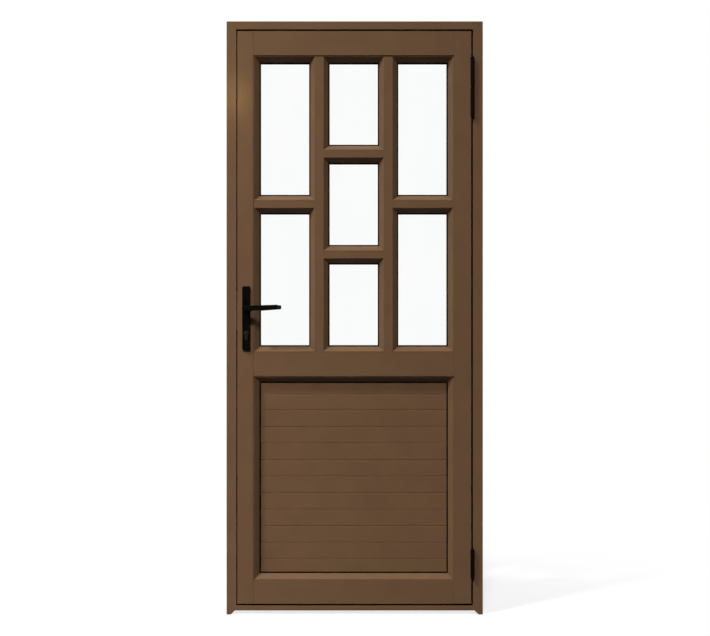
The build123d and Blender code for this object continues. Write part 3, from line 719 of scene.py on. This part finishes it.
@dataclass
class Studio:
    """The floor, the light and the camera, in metres where a name says nothing else."""

    leaf_face: float = -0.0225
    eye_distance: float = 3.2
    eye_across: float = 0.00105
    eye_level: float = 1.0412
    pixel_mm: float = 3.5115
    image_width: int = 710
    sensor_width_mm: float = 36.0
    sight: float = 200.0
    floor_reach: float = 40.0
    shadow_start: float = 0.3
    shadow_reach: float = 1.6
    shadow_share: float = 0.72
    paper: str = "#F7F7F7"
    paper_bounce: str = "#464646"
    sky: float = 0.03
    mirrored_share: float = 0.25
    lamps: tuple[Softbox, ...] = LAMPS

    def camera(self) -> None:
        """Set the camera square to the door at the photograph's scale."""
        lens = bpy.data.cameras.new("camera")
        lens.sensor_width = self.sensor_width_mm
        lens.lens = self.sensor_width_mm * self.eye_distance / (self.image_width * self.pixel_mm * MM)
        lens.clip_end = self.sight
        eye = bpy.data.objects.new("camera", lens)
        eye.location = (self.eye_across, self.leaf_face - self.eye_distance, self.eye_level)
        eye.rotation_euler = (math.pi / 2, 0.0, 0.0)
        bpy.context.scene.collection.objects.link(eye)
        bpy.context.scene.camera = eye
        log.info("camera")

    def seen_rays(self, tree: bpy.types.NodeTree) -> Any:
        """Tell the rays that show the background from those that light the door.

        Args:
            tree: The node tree that takes the test.

        Returns:
            A node whose value is one for rays from the camera, straight or through glass, and the mirrored
            share for mirrored rays, because a full white would veil the brown coat.
        """
        path = add_node(tree, "ShaderNodeLightPath")
        through = add_node(
            tree, "ShaderNodeMath", {"operation": "MAXIMUM"},
            {0: (path, "Is Camera Ray"), 1: (path, "Is Transmission Ray")},
        )
        mirrored = add_node(
            tree, "ShaderNodeMath", {"operation": "MULTIPLY", 1: self.mirrored_share},
            {0: (path, "Is Glossy Ray")},
        )
        return add_node(
            tree, "ShaderNodeMath", {"operation": "MAXIMUM"}, {0: (through, "Value"), 1: (mirrored, "Value")}
        )

    def world(self) -> None:
        """Make a white surround that lights the door softly."""
        surround = bpy.data.worlds.new("white_studio")
        surround.use_nodes = True
        tree = surround.node_tree
        tree.nodes.clear()
        lit = add_node(tree, "ShaderNodeBackground", {"Color": linear(WHITE), "Strength": self.sky})
        white = add_node(tree, "ShaderNodeBackground", {"Color": linear(WHITE), "Strength": 1.0})
        seen = self.seen_rays(tree)
        either = add_node(
            tree, "ShaderNodeMixShader", None,
            {0: (seen, "Value"), 1: (lit, "Background"), 2: (white, "Background")},
        )
        add_node(tree, "ShaderNodeOutputWorld", None, {"Surface": (either, "Shader")})
        bpy.context.scene.world = surround
        log.info("white surround")

    def backdrop_paper(self) -> bpy.types.Material:
        """Make the floor's paper, which keeps the door's shadow and turns white further out.

        Returns:
            The material.
        """
        made = bpy.data.materials.new("white_backdrop_paper")
        made.use_nodes = True
        tree = made.node_tree
        tree.nodes.clear()
        place = add_node(tree, "ShaderNodeTexCoord")
        away = add_node(tree, "ShaderNodeVectorMath", {"operation": "LENGTH"}, {0: (place, "Object")})
        fade = add_node(
            tree, "ShaderNodeMapRange",
            {"interpolation_type": "SMOOTHSTEP", "From Min": self.shadow_start, "From Max": self.shadow_reach,
             "To Min": self.shadow_share, "To Max": 1.0},
            {"Value": (away, "Value")},
        )
        sheet = add_node(tree, "ShaderNodeBsdfDiffuse", {"Color": linear(self.paper)})
        white = add_node(tree, "ShaderNodeEmission", {"Color": linear(WHITE), "Strength": 1.0})
        shown = add_node(
            tree, "ShaderNodeMixShader", None,
            {0: (fade, "Result"), 1: (sheet, "BSDF"), 2: (white, "Emission")},
        )
        bounce = add_node(tree, "ShaderNodeBsdfDiffuse", {"Color": linear(self.paper_bounce)})
        seen = self.seen_rays(tree)
        either = add_node(
            tree, "ShaderNodeMixShader", None,
            {0: (seen, "Value"), 1: (bounce, "BSDF"), 2: (shown, "Shader")},
        )
        add_node(tree, "ShaderNodeOutputMaterial", None, {"Surface": (either, "Shader")})
        return made

    def floor(self) -> None:
        """Lay the floor under the door."""
        reach = self.floor_reach
        corners = [(-reach, -reach, 0), (reach, -reach, 0), (reach, reach, 0), (-reach, reach, 0)]
        sheet = bpy.data.meshes.new("studio_floor")
        sheet.from_pydata(corners, [], [(0, 1, 2, 3)])
        sheet.materials.append(self.backdrop_paper())
        laid = bpy.data.objects.new("studio_floor", sheet)
        bpy.context.scene.collection.objects.link(laid)
        log.info("floor")

    def build(self) -> None:
        """Set up the whole studio."""
        bpy.context.scene.view_settings.view_transform = "Standard"
        self.camera()
        self.world()
        self.floor()
        for lamp in self.lamps:
            lamp.build()


def main() -> None:
    """Build the sub-assemblies and the studio."""
    logging.basicConfig(level=logging.INFO, format="%(name)s: %(message)s")
    for assembly in (DoorFrame(), Leaf(), Glazing(), HingeSet(), HandleSet(), MortiseLock()):
        assembly.build()
    Studio().build()


if __name__ == "__main__":
    main()
